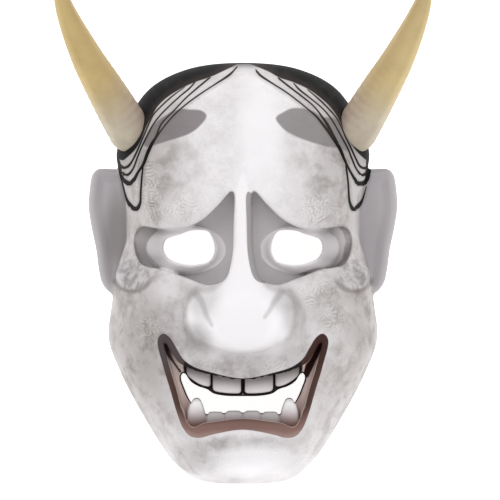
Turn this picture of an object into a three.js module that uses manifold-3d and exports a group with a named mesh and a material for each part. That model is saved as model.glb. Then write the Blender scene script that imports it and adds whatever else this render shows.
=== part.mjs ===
// A hannya mask: the horned, grinning demon face of a masked play. The face, ears, lips
// and teeth are carved from one block of cypress, and the two horns are let into it.
// Sizes are in millimetres. The mask lies on its back rim with the face up: +X is the
// viewer's right, +Y runs from the chin to the crown and +Z is out of the face.
import * as THREE from "three";
import { mergeVertices } from "three/addons/utils/BufferGeometryUtils.js";
import Module from "manifold-3d";

// Driving dimensions of the face.
const FACE_HEIGHT = 210; // crown to chin
const FACE_WIDTH = 134; // across the jowls, without the ears
const FACE_DEPTH = 95; // from the plane of the rim to the tip of the nose
const SKIRT = 20; // the upright side wall between the rim and the face
const WALL = 6.5; // thickness of the carved wood
const MOUTH_RECESS = 10; // how far the gums lie behind the face
const TOOTH_STAND = 5; // how far the teeth stand out from the gums
const TOOTH_GAP = 1.2; // the slot between two teeth
const LIP_WIDTH = 4.4; // the rounded lip around the sides and bottom of the mouth
const LIP_SET_IN = 1.5; // from the line of the mouth in to the middle of the lip

// Driving dimensions of the ears, cord holes and horns.
const EAR_ROOT = 59; // from the middle of the face to where an ear stands free
const EAR_REACH = 18; // how far an ear stands out from there
const EAR_MIDDLE = 21; // height of its middle over the middle of the face
const EAR_HEIGHT = 62;
const EAR_THICKNESS = 13;
const EAR_SLANT = 0.25; // fall of its front for each millimetre outwards
const EAR_HOLLOW = 4; // depth of the bowl of the ear
const EAR_UNDERSIDE = 14; // from the plane of the rim to the ear
const CORD_HOLE = 4.5; // diameter of the hole for the cord
const CORD_HOLE_RISE = 5; // from the plane of the rim to the hole's axis
const CORD_HOLE_HEIGHT = 22; // over the middle of the face
const HORN_LENGTH = 98; // from the head straight to the point
const HORN_BASE = 21.5; // diameter at the root
const HORN_TIP = 2.4; // diameter where the point is rounded off
const HORN_LET_IN = 12; // how far the root reaches into the head
const HORN_TENON = 8.6; // diameter at the end of the root
const HORN_CLEARANCE = 0.3; // around the root in its seat
const HORN_BOSS = 8.5; // thickness of the wood left inside the head around the seat

// How finely the rounded forms are faceted.
const FACET_COUNTS = {
  face: 38, hollow: 16, floor: 12, socket: 38, mouth: 66, eye: 22, gape: 36, ear: 26,
  ball: 18, bowl: 12, lip: 42, lipSides: 6, horn: 12, hornSides: 14, hole: 16, boss: 12,
};

// The carving is laid out on a pattern of this size, as a carver's paper templates are,
// and is stretched from there to the face's own height, width and depth. Places on it are
// measured from the middle of the face.
const PATTERN = { width: 134, height: 210, relief: 75 };
const ACROSS = FACE_WIDTH / PATTERN.width;
const ALONG = FACE_HEIGHT / PATTERN.height;
const OUTWARD = (FACE_DEPTH - SKIRT) / PATTERN.relief;

// Half outlines on the pattern, from the top round to the bottom.
const FACE_OUTLINE = [
  [0, 105], [27, 102], [46, 92.5], [57, 77], [63, 60], [60.5, 45], [57.5, 22],
  [62, 4], [65.8, -18], [67, -32.5], [61.2, -49], [48.5, -73], [35.3, -93], [23, -102.7], [0, -105],
];
const SOCKET_OUTLINE = [
  [5.2, 40.5], [12.2, 33.6], [20.4, 26.2], [30, 22.2], [41, 22.1], [50.5, 22.9], [53.6, 17],
  [50.5, 5], [38, 1.6], [27.3, -2.3], [16.5, -5.6], [9, -3], [5.6, 7], [4.9, 24],
];
const EYE_OUTLINE = [
  [14, 13], [14.9, 17], [17, 20.6], [20.5, 21.5], [27.2, 20.9], [30.4, 19.6], [35.3, 18.2],
  [38.2, 16.8], [39.5, 13], [38.9, 10.2], [37, 7.5], [32.3, 5.2], [27, 4.2], [21, 4.6],
  [17, 5.8], [14.6, 8.9],
];
const MOUTH_OUTLINE = [
  [0, -52], [15, -49.7], [25, -46.8], [29.8, -42.5], [33, -37], [36.2, -31.8], [39.4, -29.6],
  [42, -32.5], [39.2, -46], [35.9, -57], [32.6, -69.5], [29.8, -77.2], [26.5, -81.3],
  [21.5, -82], [14.5, -80.2], [0, -77.6],
];
const MOUTH_CORNER = -29.6; // height of the outline's topmost point, where the lip begins
const MOUTH_BOTTOM = -77; // below this the lip runs across
const GAPE_OUTLINE = [
  [0, -60.6], [14.8, -59.2], [22.2, -55.7], [26, -53.2], [29.3, -49], [30.7, -51], [28.9, -57],
  [26.7, -62], [20.5, -69], [9, -69], [0, -68.7],
];
// The rows of teeth on the pattern: the middle of each tooth, half its space in the row, its
// root and its biting edge.
const UPPER_TEETH = [
  { middle: 7.7, half: 7.7, root: -48, edge: -59.9 },
  { middle: 21.9, half: 6.5, root: -44, edge: -56.7 },
];
const LOWER_TEETH = [
  { middle: 4.6, half: 4.6, root: -79, edge: -67.5 },
  { middle: 13.8, half: 4.6, root: -79, edge: -68 },
];
const FANG = { middle: 23.2, half: 5, root: -79, edge: -61.2 };
const UPPER_BOW = 0.011; // how the upper row's edge rises to its sides, by their distance squared

// Half outlines of a front tooth and of a fang, from root to edge, in shares of the tooth.
const BLUNT = [[1, 0], [1, 0.76], [0.76, 0.95], [0, 1]];
const POINTED = [[1, 0], [1, 0.4], [0.78, 0.72], [0.42, 0.94], [0, 1]];

// The outline of an ear from the crown down: out from its root in shares of its reach, and
// up from its middle in shares of half its height.
const EAR_OUTLINE = [
  [-0.19, 0.81], [0, 0.97], [0.39, 1], [0.76, 0.99], [0.9, 0.9], [0.97, 0.71], [1, 0.39],
  [0.92, 0.05], [0.79, -0.28], [0.71, -0.64], [0.62, -0.83], [0.42, -0.97], [0.14, -1], [-0.19, -0.8],
];
const EAR_BOWL = { middle: [0.46, 0.05], reach: [0.33, 0.68] }; // in the same shares

// The rounded block on the pattern: the height of its crest over the skirt, how much the
// crest falls to the crown and rises to the chin, how square its plan is at the sides and
// how much squarer at the chin, and how steeply it meets the skirt.
const BLOCK = { crest: 50, toCrown: -5, toChin: 8, square: 2.6, squarer: 2.2, edge: 0.45 };
// The floor of an eye socket on the pattern: its height beside the nose, at this distance
// from the middle, and its slopes outwards and upwards.
const SOCKET = { height: 34, beside: 8, outwards: -0.32, upwards: 0.08 };

// The soft masses of the carving, each with its mirror image: how high it rises over the
// block or sinks into it, then its middle and its reach on the pattern.
const MASSES = [
  [2.5, 24, 66, 20, 18], // swelling of the forehead
  [6, 15, 39, 9, 9], // inner end of the brow
  [6, 30, 31, 11, 8], // ridge of the brow
  [5, 46, 30, 9, 8], // outer end of the brow
  [7, 43, -9, 15, 10], // cheekbone
  [4, 50, -42, 10, 18], // jowl
  [3, 0, -46, 28, 10], // upper lip
  [6, 0, -94, 20, 8], // chin
  [-1.4, 0, -86, 24, 3.5], // groove between the lower lip and the chin
  [-3.5, 33, -20, 4.5, 13], // fold from the nose to the corner of the mouth
];

// The nose on the pattern: the bridge from its upper end to its lower one, then the knobs
// of the tip, of its broad base and of the wings, with their middles, reaches and heights.
const BRIDGE = { top: 42, length: 56, height: 49, rise: 21, side: 9, width: 5, spread: 6 };
const NOSE_TIP = { middle: [0, -23], reach: [17.5, 15.2], top: PATTERN.relief, rise: 16.5 };
const NOSE_BASE = { middle: [0, -22], reach: [28.7, 16.3], top: 60.5, rise: 14.5 };
const NOSE_WING = { middle: [21.3, -21.5], reach: [8.6, 13.3], top: 60.5, rise: 13 };
const FILLET = 4; // where the nose and its parts run into one another

// The bulge of each eye on the pattern: its middle and its reach across, along and outward.
const EYEBALL = { middle: [28.4, 12.6, 27.5], reach: [19.4, 12.6, 13] };
// Where each horn leaves the head, on the pattern.
const HORN_EXIT = [56.3, 71, 17];
// The line of a horn from where it leaves the head, in shares of its length: out and up
// from the temple, leaning forward, with the point drawn upright.
const HORN_WAY = [
  [0, 0, 0], [0.124, 0.212, 0.07], [0.212, 0.364, 0.13],
  [0.308, 0.569, 0.21], [0.341, 0.671, 0.255], [0.373, 0.867, 0.34],
];

const { abs, cos, sin, min, max, sqrt, hypot, PI } = Math;
const wasm = await Module();
wasm.setup();

// A smooth step from 0 at low to 1 at high, which may run downwards.
function step(low, high, value) {
  const t = min(max((value - low) / (high - low), 0), 1);
  return t * t * (3 - 2 * t);
}

// A soft round mass on the pattern, mirrored about the middle of the face.
function mass(x, y, [rise, atX, atY, reachX, reachY]) {
  return rise * Math.exp(-(((abs(x) - atX) / reachX) ** 2) - ((y - atY) / reachY) ** 2);
}

// The greater of two heights, with a fillet between them.
function blend(a, b, fillet) {
  const t = max(fillet - abs(a - b), 0) / fillet;
  return max(a, b) + (t * t * fillet) / 4;
}

// The upper surface of an ellipsoid over a point, falling far below the face outside it.
function knob(x, y, { middle, reach, top, rise }) {
  const q = ((abs(x) - middle[0]) / reach[0]) ** 2 + ((y - middle[1]) / reach[1]) ** 2;
  return q < 1 ? top - rise * (1 - sqrt(1 - q)) : top - rise * q * q;
}

// A closed smooth line through a half outline and its mirror image.
function mirrored(half, count) {
  const middle = half.filter(([x]) => x !== 0);
  const points = [...half, ...middle.reverse().map(([x, y]) => [-x, y])];
  return closedLine(points, count);
}

// A closed smooth line through points, as count points.
function closedLine(points, count) {
  const curve = new THREE.CatmullRomCurve3(
    points.map(([x, y]) => new THREE.Vector3(x, y, 0)),
    true,
    "centripetal",
  );
  return curve.getSpacedPoints(count).slice(0, count).map((p) => [p.x, p.y]);
}

// The distance from the middle of the pattern to the outline, by direction.
const RADIUS_STEPS = 720;
const rimRadius = (() => {
  const line = mirrored(FACE_OUTLINE, 4 * RADIUS_STEPS);
  const table = new Array(RADIUS_STEPS).fill(0);
  for (const [x, y] of line) {
    const slot = Math.floor(((Math.atan2(y, x) + PI) / (2 * PI)) * RADIUS_STEPS) % RADIUS_STEPS;
    table[slot] = hypot(x, y);
  }
  return (angle) => {
    const place = (((angle + PI) / (2 * PI)) * RADIUS_STEPS - 0.5 + RADIUS_STEPS) % RADIUS_STEPS;
    const low = Math.floor(place);
    const share = place - low;
    return table[low] * (1 - share) + table[(low + 1) % RADIUS_STEPS] * share;
  };
})();

// The rounded block that the face is carved on: its height over the skirt.
function block(x, y) {
  const out = min(hypot(x, y) / rimRadius(Math.atan2(y, x)), 1);
  const down = max(-y / max(hypot(x, y), 1), 0);
  const squareness = BLOCK.square + BLOCK.squarer * down * down;
  const crest = BLOCK.crest + BLOCK.toCrown * step(20, 105, y) + BLOCK.toChin * step(-45, -95, y);
  return crest * (1 - out ** squareness) ** BLOCK.edge;
}

// The nose: a bridge that widens downwards, a heavy tip and flared wings.
function nose(x, y) {
  const down = (BRIDGE.top - y) / BRIDGE.length;
  const lower = max(down, 0);
  const aside = x / (BRIDGE.width + BRIDGE.spread * lower * lower);
  const bridge = BRIDGE.height + BRIDGE.rise * lower - BRIDGE.side * aside * aside;
  const ridge = down < 1.15 ? bridge - 60 * step(0, -0.25, down) : 0;
  const knobs = [NOSE_TIP, NOSE_BASE, NOSE_WING].map((one) => knob(x, y, one));
  return knobs.reduce((height, one) => blend(height, one, FILLET), ridge);
}

// The carved face on the pattern, as a height over the skirt.
function relief(x, y) {
  const soft = MASSES.reduce((height, one) => height + mass(x, y, one), block(x, y));
  return blend(soft, nose(x, y), FILLET);
}

// The front of the face, at a real place.
function front(x, y) {
  return SKIRT + OUTWARD * relief(x / ACROSS, y / ALONG);
}

// The inside, at least WALL behind the front in every direction.
function inside(x, y) {
  let height = front(x, y) - WALL;
  for (const ring of [0.5, 1]) {
    for (let i = 0; i < 8; i++) {
      const angle = (i * PI) / 4;
      const reach = front(x + ring * WALL * cos(angle), y + ring * WALL * sin(angle));
      height = min(height, reach - WALL * sqrt(1 - ring * ring));
    }
  }
  return height;
}

// The floor of the eye sockets, deepest beside the nose.
function socketFloor(x, y) {
  const aside = abs(x / ACROSS) - SOCKET.beside;
  return SKIRT + OUTWARD * (SOCKET.height + SOCKET.outwards * aside + SOCKET.upwards * (y / ALONG));
}

// The gums, behind the face.
function gums(x, y) {
  return SKIRT + OUTWARD * block(x / ACROSS, y / ALONG) - MOUTH_RECESS;
}

// A closed mesh as a solid for joining and cutting.
function solid(geometry) {
  const bare = geometry.index ? geometry.toNonIndexed() : geometry.clone();
  bare.deleteAttribute("normal");
  bare.deleteAttribute("uv");
  const merged = mergeVertices(bare, 1e-4);
  return new wasm.Manifold(
    new wasm.Mesh({
      numProp: 3,
      vertProperties: merged.attributes.position.array,
      triVerts: new Uint32Array(merged.index.array),
    }),
  );
}

// A solid from its points and its faces.
function solidOf(points, faces) {
  const geometry = new THREE.BufferGeometry();
  geometry.setAttribute("position", new THREE.Float32BufferAttribute(points.flat(), 3));
  geometry.setIndex(faces.flat());
  return solid(geometry);
}

// A solid over the face's outline, taken in by inset, from the plane floor up to the
// height at each place. Its cells crowd towards the rim, where the surface is steep.
const CROWDING = 0.55;
function domed(height, cells, floor, inset = 0) {
  const row = cells + 1;
  const points = [];
  for (let j = 0; j <= cells; j++) {
    for (let i = 0; i <= cells; i++) {
      const u = (2 * i) / cells - 1;
      const v = (2 * j) / cells - 1;
      const discX = u * sqrt(1 - (v * v) / 2);
      const discY = v * sqrt(1 - (u * u) / 2);
      const out = min(hypot(discX, discY), 1);
      const angle = Math.atan2(discY, discX);
      const share = (1 - CROWDING) * out + CROWDING * sin((PI * out) / 2);
      const reach = share * rimRadius(angle);
      const x = cos(angle) * (reach * ACROSS - inset * share);
      const y = sin(angle) * (reach * ALONG - inset * share);
      points.push([x, y, height(x, y)]);
    }
  }
  const faces = [];
  for (let j = 0; j < cells; j++) {
    for (let i = 0; i < cells; i++) {
      const a = j * row + i;
      const towardsRim = i < cells / 2 === j < cells / 2;
      if (towardsRim) faces.push([a, a + 1, a + row + 1], [a, a + row + 1, a + row]);
      else faces.push([a, a + 1, a + row], [a + 1, a + row + 1, a + row]);
    }
  }
  const rim = [];
  for (let i = 0; i < cells; i++) rim.push(i);
  for (let j = 0; j < cells; j++) rim.push(j * row + cells);
  for (let i = cells; i > 0; i--) rim.push(cells * row + i);
  for (let j = cells; j > 0; j--) rim.push(j * row);
  const first = points.length;
  rim.forEach((k) => points.push([points[k][0], points[k][1], floor]));
  points.push([0, 0, floor]);
  rim.forEach((k, n) => {
    const next = (n + 1) % rim.length;
    faces.push([k, first + n, rim[next]], [rim[next], first + n, first + next]);
    faces.push([first + rim.length, first + next, first + n]);
  });
  return solidOf(points, faces);
}

// An upright solid on a closed line of real points, between two heights that may vary.
function prism(line, low, high) {
  const area = THREE.ShapeUtils.area(line.map(([x, y]) => new THREE.Vector2(x, y)));
  const turn = area < 0 ? [...line].reverse() : line;
  const caps = THREE.ShapeUtils.triangulateShape(turn.map(([x, y]) => new THREE.Vector2(x, y)), []);
  const count = turn.length;
  const points = [
    ...turn.map(([x, y]) => [x, y, low(x, y)]),
    ...turn.map(([x, y]) => [x, y, high(x, y)]),
  ];
  const faces = caps.flatMap(([a, b, c]) => [[c, b, a], [a + count, b + count, c + count]]);
  for (let i = 0; i < count; i++) {
    const next = (i + 1) % count;
    faces.push([i, next, next + count], [i, next + count, i + count]);
  }
  return solidOf(points, faces);
}

// A line on the pattern at the face's own size.
function real(line) {
  return line.map(([x, y]) => [x * ACROSS, y * ALONG]);
}

// A closed line moved outwards by a real distance.
function grown(line, by) {
  const area = THREE.ShapeUtils.area(line.map(([x, y]) => new THREE.Vector2(x, y)));
  const way = area < 0 ? -by : by;
  return line.map(([x, y], i) => {
    const before = line[(i + line.length - 1) % line.length];
    const after = line[(i + 1) % line.length];
    const run = hypot(after[0] - before[0], after[1] - before[1]);
    return [x + (way * (after[1] - before[1])) / run, y - (way * (after[0] - before[0])) / run];
  });
}

const UNDER = () => -2;
const OVER = () => FACE_DEPTH + 2 * WALL;

// A recess with upright walls: everything over the floor inside the line.
function recess(line, floor) {
  return prism(line, UNDER, OVER).subtract(domed(floor, FACET_COUNTS.floor, UNDER(), -3 * WALL));
}

// The same line on the other half of the face.
function otherSide(line) {
  return line.map(([x, y]) => [-x, y]).reverse();
}

// Everything that a line of the right half and its mirror image make.
function bothSides(line, make) {
  return make(line).add(make(otherSide(line)));
}

// A round bar through points at real places, less than half as thick at its ends, which
// taper over a sixth of its length.
const BAR_END = 0.45;
function bar(points, radius, steps, sides) {
  const path = new THREE.CatmullRomCurve3(points, false, "centripetal");
  const rings = [];
  for (let i = 0; i <= steps; i++) {
    const t = i / steps;
    const width = radius * (BAR_END + (1 - BAR_END) * min(1, 6 * t, 6 * (1 - t)));
    rings.push({ at: path.getPointAt(t), along: path.getTangentAt(t), width });
  }
  return lofted(rings, sides);
}

// A closed solid through round rings that turn as little as they can along the way.
function lofted(rings, sides) {
  const points = [];
  const faces = [];
  let side = new THREE.Vector3(0, 0, 1).cross(rings[0].along).normalize();
  for (const { at, along, width } of rings) {
    side = side.clone().addScaledVector(along, -side.dot(along)).normalize();
    const up = along.clone().cross(side);
    for (let k = 0; k < sides; k++) {
      const angle = (2 * PI * k) / sides;
      const p = at.clone();
      p.addScaledVector(side, width * cos(angle)).addScaledVector(up, width * sin(angle));
      points.push(p.toArray());
    }
  }
  for (let r = 0; r < rings.length - 1; r++) {
    for (let k = 0; k < sides; k++) {
      const a = r * sides + k;
      const b = r * sides + ((k + 1) % sides);
      faces.push([a, b, b + sides], [a, b + sides, a + sides]);
    }
  }
  const last = (rings.length - 1) * sides;
  for (let k = 1; k < sides - 1; k++) {
    faces.push([0, k + 1, k], [last, last + k, last + k + 1]);
  }
  return solidOf(points, faces);
}

// The line of a horn from the end of its root, which runs straight into the head.
function hornLine(side) {
  const [x, y, z] = HORN_EXIT;
  const exit = new THREE.Vector3(x * ACROSS, y * ALONG, SKIRT + z * OUTWARD);
  const points = HORN_WAY.map((share) =>
    new THREE.Vector3(...share).multiplyScalar(HORN_LENGTH).add(exit),
  );
  const inwards = points[0].clone().sub(points[1]).setLength(HORN_LET_IN);
  points.unshift(points[0].clone().add(inwards));
  for (const point of points) point.x *= side;
  return new THREE.CatmullRomCurve3(points, false, "centripetal");
}

// A horn, tapering to its point and to the end of its root, or the seat for it when it is
// made larger all round.
function horn(side, larger) {
  const line = hornLine(side);
  const rings = [];
  for (let i = 0; i <= FACET_COUNTS.horn; i++) {
    const t = i / FACET_COUNTS.horn;
    const along = line.getTangentAt(t);
    const at = line.getPointAt(t);
    if (i === 0) at.addScaledVector(along, -larger);
    const fromHead = t * (HORN_LENGTH + HORN_LET_IN) - HORN_LET_IN;
    const outside = max(fromHead, 0) / HORN_LENGTH;
    const inside = max(-fromHead, 0) / HORN_LET_IN;
    const taper = max(HORN_BASE * (1 - outside ** 1.5) ** 0.85, HORN_TIP);
    const diameter = taper - (HORN_BASE - HORN_TENON) * inside ** 2;
    rings.push({ at, along, width: diameter / 2 + larger });
  }
  return lofted(rings, FACET_COUNTS.hornSides);
}

// An ear: a long slab on the side of the head with a hollow bowl and a raised rim.
function ear(side) {
  const root = EAR_ROOT * ACROSS;
  const middle = EAR_MIDDLE * ALONG;
  const half = EAR_HEIGHT / 2;
  const place = ([out, up]) => [root + EAR_REACH * out, middle + half * up];
  const line = closedLine(EAR_OUTLINE.map(place), FACET_COUNTS.ear);
  const high = (x) => EAR_UNDERSIDE + EAR_THICKNESS - EAR_SLANT * (abs(x) - root);
  const [bowlX, bowlY] = place(EAR_BOWL.middle);
  const [wide, tall] = EAR_BOWL.reach;
  const bowl = new THREE.SphereGeometry(1, FACET_COUNTS.bowl, FACET_COUNTS.bowl / 2);
  bowl.scale(EAR_REACH * wide, half * tall, EAR_HOLLOW);
  bowl.translate(bowlX, bowlY, high(bowlX) + 0.3);
  const carved = prism(line, () => EAR_UNDERSIDE, high).subtract(solid(bowl));
  return side > 0 ? carved : carved.mirror([1, 0, 0]);
}

// A tooth, standing out from the gums. Its biting edge follows the bow of its row.
function tooth({ middle, half, root, edge }, form, bow, side) {
  const wide = half - TOOTH_GAP / 2;
  const points = [...form.map(([out, share]) => [-out, share]), ...form.slice(0, -1).reverse()];
  const line = points.map(([out, share]) => {
    const x = middle + wide * out;
    return [side * x, root + share * (edge + bow * (x * x - middle * middle) - root)];
  });
  const face = gums(side * middle * ACROSS, ((root + edge) / 2) * ALONG) + TOOTH_STAND;
  return prism(real(line), (x, y) => gums(x, y) - WALL, () => face);
}

// All the teeth of one side.
function teeth(side) {
  const upper = UPPER_TEETH.map((one) => tooth(one, BLUNT, UPPER_BOW, side));
  const lower = LOWER_TEETH.map((one) => tooth(one, BLUNT, 0, side));
  return [...upper, ...lower, tooth(FANG, POINTED, 0, side)];
}

// The bulge of an eye in its socket.
function eyeball(side) {
  const [x, y, z] = EYEBALL.middle;
  const [across, along, outward] = EYEBALL.reach;
  const ball = new THREE.SphereGeometry(1, FACET_COUNTS.ball, FACET_COUNTS.ball / 2);
  ball.scale(across * ACROSS, along * ALONG, outward * OUTWARD);
  ball.translate(x * ACROSS * side, y * ALONG, SKIRT + z * OUTWARD);
  return solid(ball);
}

// The lip: a rounded bar just inside the mouth's line, down both sides and along the
// bottom, from one corner to the other.
function lip() {
  const corner = MOUTH_OUTLINE.findIndex(([, y]) => y === MOUTH_CORNER);
  const right = MOUTH_OUTLINE.slice(corner).map(([x, y]) => [
    x - (x > 0 ? LIP_SET_IN : 0),
    y + (y < MOUTH_BOTTOM ? LIP_SET_IN : 0),
  ]);
  const line = [...right, ...right.slice(0, -1).reverse().map(([x, y]) => [-x, y])];
  const points = real(line).map(([x, y]) => new THREE.Vector3(x, y, front(x, y) - LIP_WIDTH / 4));
  return bar(points, LIP_WIDTH / 2, FACET_COUNTS.lip, FACET_COUNTS.lipSides);
}

// The hole for the cord, through the side wall behind an ear.
function cordHole(side) {
  const hole = new THREE.CylinderGeometry(CORD_HOLE / 2, CORD_HOLE / 2, 4 * WALL, FACET_COUNTS.hole);
  hole.rotateZ(PI / 2);
  hole.translate(EAR_ROOT * ACROSS * side, CORD_HOLE_HEIGHT * ALONG, CORD_HOLE_RISE);
  return solid(hole);
}

// The boss of wood left inside the head around each horn's root, joined to the side wall.
function hornBacking(side) {
  const reach = HORN_BASE / 2 + HORN_BOSS;
  const root = hornLine(side).getPointAt(0).lerp(hornLine(side).points[1], 0.5);
  const boss = new THREE.CylinderGeometry(reach, reach, FACE_DEPTH, FACET_COUNTS.boss);
  boss.rotateX(PI / 2);
  boss.translate(root.x, root.y, root.z - reach + FACE_DEPTH / 2);
  return solid(boss);
}

// The whole carved block.
function carvedMask() {
  const socketLine = real(closedLine(SOCKET_OUTLINE, FACET_COUNTS.socket));
  const mouthLine = real(mirrored(MOUTH_OUTLINE, FACET_COUNTS.mouth));
  const eyeLine = real(closedLine(EYE_OUTLINE, FACET_COUNTS.eye));
  const gapeLine = real(mirrored(GAPE_OUTLINE, FACET_COUNTS.gape));
  const behindSocket = (x, y) => socketFloor(x, y) - WALL;
  const behindGums = (x, y) => gums(x, y) - WALL;

  const backing = recess(grown(mouthLine, WALL), behindGums)
    .add(bothSides(socketLine, (line) => recess(grown(line, WALL), behindSocket)))
    .add(hornBacking(1))
    .add(hornBacking(-1));
  const hollow = domed(inside, FACET_COUNTS.hollow, UNDER(), WALL).subtract(backing);

  let mask = domed(front, FACET_COUNTS.face, 0)
    .subtract(bothSides(socketLine, (line) => recess(line, socketFloor)))
    .subtract(recess(mouthLine, gums))
    .add(eyeball(1))
    .add(eyeball(-1))
    .subtract(hollow)
    .subtract(bothSides(eyeLine, (line) => prism(line, UNDER, OVER)))
    .subtract(prism(gapeLine, UNDER, OVER));
  for (const side of [1, -1]) {
    for (const one of teeth(side)) mask = mask.add(one);
    mask = mask.add(ear(side).subtract(hollow)).subtract(cordHole(side));
    mask = mask.subtract(horn(side, HORN_CLEARANCE));
  }
  return mask.add(lip());
}

// A named mesh of a solid in its own colour.
function piece(name, made, colour, roughness) {
  const { numProp, numVert, vertProperties, triVerts } = made.getMesh();
  const places = new Float32Array(3 * numVert);
  for (let i = 0; i < numVert; i++) {
    places.set(vertProperties.subarray(i * numProp, i * numProp + 3), 3 * i);
  }
  const geometry = new THREE.BufferGeometry();
  geometry.setAttribute("position", new THREE.BufferAttribute(places, 3));
  geometry.setIndex(new THREE.BufferAttribute(triVerts, 1));
  geometry.computeVertexNormals();
  const finish = new THREE.MeshStandardMaterial({ color: colour, roughness, metalness: 0 });
  const mesh = new THREE.Mesh(geometry, finish);
  mesh.name = name;
  return mesh;
}

const mask = new THREE.Group();
mask.add(piece("mask", carvedMask(), 0xe4e1e2, 0.55));
mask.add(piece("horn_left", horn(-1, 0), 0xc4aa72, 0.45));
mask.add(piece("horn_right", horn(1, 0), 0xc4aa72, 0.45));

// The origin is under the middle of the whole object, in the plane of the rim.
const middle = new THREE.Box3().setFromObject(mask).getCenter(new THREE.Vector3());
mask.position.set(-middle.x, -middle.y, 0);

export default mask;
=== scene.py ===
import bpy
import numpy as np
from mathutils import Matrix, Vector


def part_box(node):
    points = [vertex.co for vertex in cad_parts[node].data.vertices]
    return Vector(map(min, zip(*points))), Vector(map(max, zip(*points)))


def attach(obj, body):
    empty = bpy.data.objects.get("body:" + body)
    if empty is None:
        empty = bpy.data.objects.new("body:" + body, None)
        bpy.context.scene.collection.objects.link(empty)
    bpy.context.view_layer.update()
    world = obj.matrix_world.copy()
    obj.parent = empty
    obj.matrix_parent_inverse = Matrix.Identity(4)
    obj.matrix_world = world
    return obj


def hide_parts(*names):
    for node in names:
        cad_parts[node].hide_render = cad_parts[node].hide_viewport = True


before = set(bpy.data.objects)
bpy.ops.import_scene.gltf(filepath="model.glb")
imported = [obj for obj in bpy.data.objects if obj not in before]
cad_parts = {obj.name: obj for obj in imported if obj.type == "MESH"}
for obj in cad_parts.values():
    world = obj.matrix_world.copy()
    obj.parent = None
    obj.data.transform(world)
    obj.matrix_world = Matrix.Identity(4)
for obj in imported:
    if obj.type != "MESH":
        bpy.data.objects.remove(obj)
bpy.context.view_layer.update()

# The mask. One block of cypress is carved into the face, ears, lips and teeth, hollowed
# from behind to an even wall, coated with white shell paint and painted. The carving is
# worked out in millimetres from the middle of the face, on the carver's paper pattern.
MM = 0.001
PATTERN_HEIGHT = 210
PATTERN_WIDTH = 154
PATTERN_RISE = 75.2  # from the top of the side wall to the tip of the nose
mask_low, mask_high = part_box("mask")
FACE_HEIGHT = (mask_high.y - mask_low.y) / MM
FACE_SHIFT = (mask_high.y + mask_low.y) / 2 / MM
FACE_DEPTH = mask_high.z / MM
ALONG = FACE_HEIGHT / PATTERN_HEIGHT
ACROSS = (mask_high.x - mask_low.x) / MM / PATTERN_WIDTH
SKIRT = 20.0  # the straight side wall
WALL = 6.5
OUTWARD = (FACE_DEPTH - SKIRT) / PATTERN_RISE
STEP = 0.84

# Outlines on one half of the face. The face, the mouth and the gape run from the middle at the
# top to the middle at the bottom. The socket, the eye hole and the ear run all the way round.
FACE_OUTLINE = [
    (0, 105), (27, 102), (46, 92.5), (57, 77), (63, 60), (60.5, 45), (57.5, 22), (62, 4), (65.8, -18),
    (67, -32.5), (61.2, -49), (48.5, -73), (35.3, -93), (23, -102.7), (0, -105),
]
SOCKET_OUTLINE = [
    (5.2, 40.5), (12.2, 33.6), (20.4, 26.2), (30, 22.2), (41, 22.1), (50.5, 22.9), (53.6, 17), (50.5, 5),
    (38, 1.6), (27.3, -2.3), (16.5, -5.6), (9, -3), (5.6, 7), (4.7, 24),
]
EYE_OUTLINE = [
    (14, 13), (14.9, 17), (17, 20.6), (20.5, 21.5), (27.2, 20.9), (30.4, 19.6), (35.3, 18.2), (38.2, 16.8),
    (39.5, 13), (38.9, 10.2), (37, 7.5), (32.3, 5.2), (27, 4.2), (21, 4.6), (17, 5.8), (14.6, 8.9),
]
MOUTH_OUTLINE = [
    (0, -51.8), (15, -49), (25, -45.7), (29.8, -41.9), (33, -36.6), (36.2, -31.6), (39.4, -29.6),
    (42, -32.5), (39.2, -46), (35.9, -57), (32.4, -69), (29.4, -76.4), (26, -80.2), (21.5, -81),
    (14.5, -79.2), (0, -76.9),
]
GAPE_OUTLINE = [
    (0, -60.6), (9, -60.4), (14.8, -59.2), (17.5, -57.3), (22.2, -55.7), (26, -53.2), (28, -50.2),
    (29.3, -49), (30.7, -51), (28.9, -57), (26.7, -62), (24, -66), (20.5, -69), (16.5, -69.6), (9, -69),
    (0, -68.7),
]
EAR_OUTLINE = [
    (55.5, 46), (59, 51), (66, 52), (72.6, 51.8), (75.2, 49), (76.4, 43), (77, 33), (75.5, 22.5), (73.3, 12),
    (71.8, 1), (70.2, -5), (66.6, -9.4), (61.5, -10.3), (55.5, -4),
]


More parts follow.
